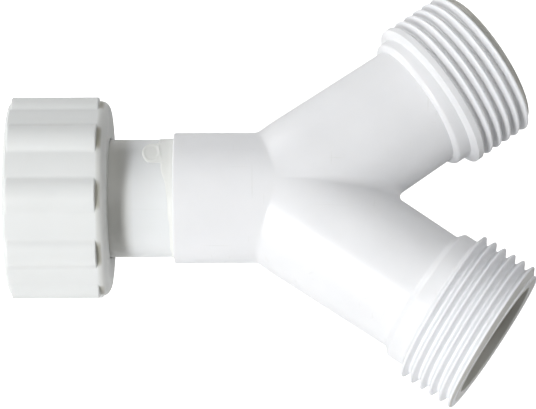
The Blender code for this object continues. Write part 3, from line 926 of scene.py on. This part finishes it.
def plasticMaterial(name, look):
    material = bpy.data.materials.new(name)
    material.use_nodes = True
    tree = material.node_tree
    shader = tree.nodes["Principled BSDF"]
    place = tree.nodes.new("ShaderNodeTexCoord").outputs["Object"]
    scales = {"Grain Scale": look["grainScale"], "Cloud Scale": look["cloudScale"]}
    skin = groupNode(tree, skinGroup, place, scales)
    marks = groupNode(tree, marksGroup, place, {"Amount": look["marks"]})
    cloud = rampNode(tree, skin.outputs["Cloud"], *look["cloudRamp"])
    colour = mixColour(tree, cloud, look["colour"], look["shade"])
    colour = mixColour(tree, marks.outputs["Scratches"], colour, look["scratchColour"])
    # painted shade: the stored amount, made patchy by the cloud noise, mixes the colour towards the
    # painted shade colour
    painted = tree.nodes.new("ShaderNodeAttribute")
    painted.attribute_name = "paintedShade"
    patchy = rampNode(tree, skin.outputs["Cloud"], *look["patchRamp"])
    patchy.node.inputs["To Min"].default_value = look["patchLeast"]
    paintedShade = mathNode(tree, "MULTIPLY", painted.outputs["Fac"], patchy)
    colour = mixColour(tree, paintedShade, colour, look["paintedShadeColour"])
    tree.links.new(colour, shader.inputs["Base Color"])
    rough = mathNode(tree, "MULTIPLY_ADD", skin.outputs["Cloud"], look["roughSpread"])
    rough.node.inputs[2].default_value = look["rough"] - look["roughSpread"] / 2
    rubbed = mathNode(tree, "MULTIPLY_ADD", marks.outputs["Rubs"], look["rubRough"])
    tree.links.new(rough, rubbed.node.inputs[2])
    tree.links.new(rubbed, shader.inputs["Roughness"])
    height = mathNode(tree, "MULTIPLY", skin.outputs["Grain"], look["grainDepth"])
    wavy = mathNode(tree, "MULTIPLY", skin.outputs["Waviness"], look["waveDepth"])
    height = mathNode(tree, "ADD", height, wavy)
    cut = mathNode(tree, "MULTIPLY", marks.outputs["Scratches"], look["scratchDepth"])
    height = mathNode(tree, "SUBTRACT", height, cut)
    bump = tree.nodes.new("ShaderNodeBump")
    bump.inputs["Strength"].default_value = 1.0
    bump.inputs["Distance"].default_value = mm
    tree.links.new(height, bump.inputs["Height"])
    tree.links.new(bump.outputs["Normal"], shader.inputs["Normal"])
    shader.inputs["IOR"].default_value = look["ior"]
    shader.inputs["Subsurface Weight"].default_value = look["subsurface"]
    shader.inputs["Subsurface Radius"].default_value = look["subsurfaceRadius"]
    shader.inputs["Subsurface Scale"].default_value = look["subsurfaceScale"]
    return material


bodyLook = {
    "colour": (0.835, 0.845, 0.868),
    "shade": (0.815, 0.825, 0.848),
    "scratchColour": (0.70, 0.71, 0.70),
    "paintedShadeColour": (0.30, 0.28, 0.205),  # colour of the painted shade where it is full
    "grainScale": 2600.0,
    "cloudScale": 110.0,
    "cloudRamp": (0.35, 0.65),
    "patchRamp": (0.2, 0.8),
    "patchLeast": 0.8,  # share of the painted shade left where the patches are weakest
    "marks": 0.5,
    "rough": 0.34,
    "roughSpread": 0.12,
    "grainDepth": 0.006,
    "waveDepth": 0.020,
    "scratchDepth": 0.006,
    "rubRough": 0.08,  # added to the roughness where it is rubbed
    "ior": 1.5,
    "subsurface": 0.12,
    "subsurfaceRadius": (1.0, 0.9, 0.8),
    "subsurfaceScale": 0.8 * mm,
}
nutLook = dict(
    bodyLook, colour=(0.715, 0.73, 0.725), shade=(0.695, 0.71, 0.705), rough=0.42, waveDepth=0.012)
tubeLook = dict(
    bodyLook, colour=(0.77, 0.785, 0.79), shade=(0.75, 0.77, 0.775), rough=0.30, marks=0.2)
cementLook = dict(
    bodyLook, colour=(0.84, 0.85, 0.82), shade=(0.80, 0.81, 0.78), rough=0.30, waveDepth=0.05, marks=0.2)
rubberLook = dict(
    bodyLook, colour=(0.022, 0.022, 0.023), shade=(0.032, 0.032, 0.033), scratchColour=(0.05, 0.05, 0.05),
    rough=0.72, grainDepth=0.02, subsurface=0.0)
yPiece.data.materials.append(plasticMaterial("mouldedWhite", bodyLook))
nutPiece.data.materials.append(plasticMaterial("nutWhite", nutLook))
tailPiece.data.materials.append(plasticMaterial("tubeWhite", tubeLook))
cementPiece.data.materials.append(plasticMaterial("driedCement", cementLook))
washerPiece.data.materials.append(plasticMaterial("washerRubber", rubberLook))
print("materials made")


# floor, light and camera

stage = {
    "floorSize": 1.2,
    "floorColour": (0.86, 0.86, 0.86),
    "floorRough": 0.9,
    "worldColour": (1.0, 1.0, 1.0),
    "worldStrength": 0.0,
    "lampDistance": 0.6,
    # azimuth from the front towards the right and height over the floor, in degrees,
    # then size in metres and power in watts
    "lamps": {
        "key": (316, 47, 0.12, 1.70),
        "front": (315, 25, 0.40, 1.78),
        "right": (90, 65, 0.80, 1.85),
        "back": (225, 15, 0.36, 1.75),
        "fill": (135, 40, 0.36, 0.3),
    },
}


def addFloor():
    size = stage["floorSize"] / 2
    mesh = bpy.data.meshes.new("floor")
    corners = [(-size, -size, 0), (size, -size, 0), (size, size, 0), (-size, size, 0)]
    mesh.from_pydata(corners, [], [(0, 1, 2, 3)])
    floor = bpy.data.objects.new("floor", mesh)
    bpy.context.scene.collection.objects.link(floor)
    material = bpy.data.materials.new("floorWhite")
    material.use_nodes = True
    tree = material.node_tree
    shader = tree.nodes["Principled BSDF"]
    shader.inputs["Base Color"].default_value = (*stage["floorColour"], 1.0)
    shader.inputs["Roughness"].default_value = stage["floorRough"]
    shader.inputs["Emission Color"].default_value = (1.0, 1.0, 1.0, 1.0)
    ray = tree.nodes.new("ShaderNodeLightPath")
    tree.links.new(ray.outputs["Is Camera Ray"], shader.inputs["Emission Strength"])
    mesh.materials.append(material)


def addLamp(name, azimuth, height, size, power):
    turn, lift = math.radians(azimuth), math.radians(height)
    towards = Vector((math.sin(turn) * math.cos(lift), -math.cos(turn) * math.cos(lift), math.sin(lift)))
    lamp = bpy.data.lights.new(name, "AREA")
    lamp.shape = "DISK"
    lamp.size = size
    lamp.energy = power
    holder = bpy.data.objects.new(name, lamp)
    bpy.context.scene.collection.objects.link(holder)
    holder.location = Vector(forkCentre) + towards * stage["lampDistance"]
    holder.rotation_euler = (-towards).to_track_quat("-Z", "Y").to_euler()


addFloor()
for lampName, values in stage["lamps"].items():
    addLamp(lampName + "Lamp", *values)
world = bpy.data.worlds.new("studio")
world.use_nodes = True
background = world.node_tree.nodes["Background"]
background.inputs["Color"].default_value = (*stage["worldColour"], 1.0)
background.inputs["Strength"].default_value = stage["worldStrength"]
bpy.context.scene.world = world
bpy.context.scene.view_settings.view_transform = "Standard"

view = {
    "offset": (-0.07 * mm, -130.29 * mm, 400.52 * mm),
    "turn": (0.3119, 0.0036, -0.0042),
    "lens": 172.4,
}
camera = bpy.data.objects.new("camera", bpy.data.cameras.new("camera"))
bpy.context.scene.collection.objects.link(camera)
camera.data.sensor_fit = "HORIZONTAL"
camera.data.sensor_width = 36.0
camera.data.lens = view["lens"]
camera.data.clip_start = 0.01
camera.location = Vector(forkCentre) + Vector(view["offset"])
camera.rotation_mode = "ZYX"
camera.rotation_euler = view["turn"]
bpy.context.scene.camera = camera
print("stage, light and camera set")
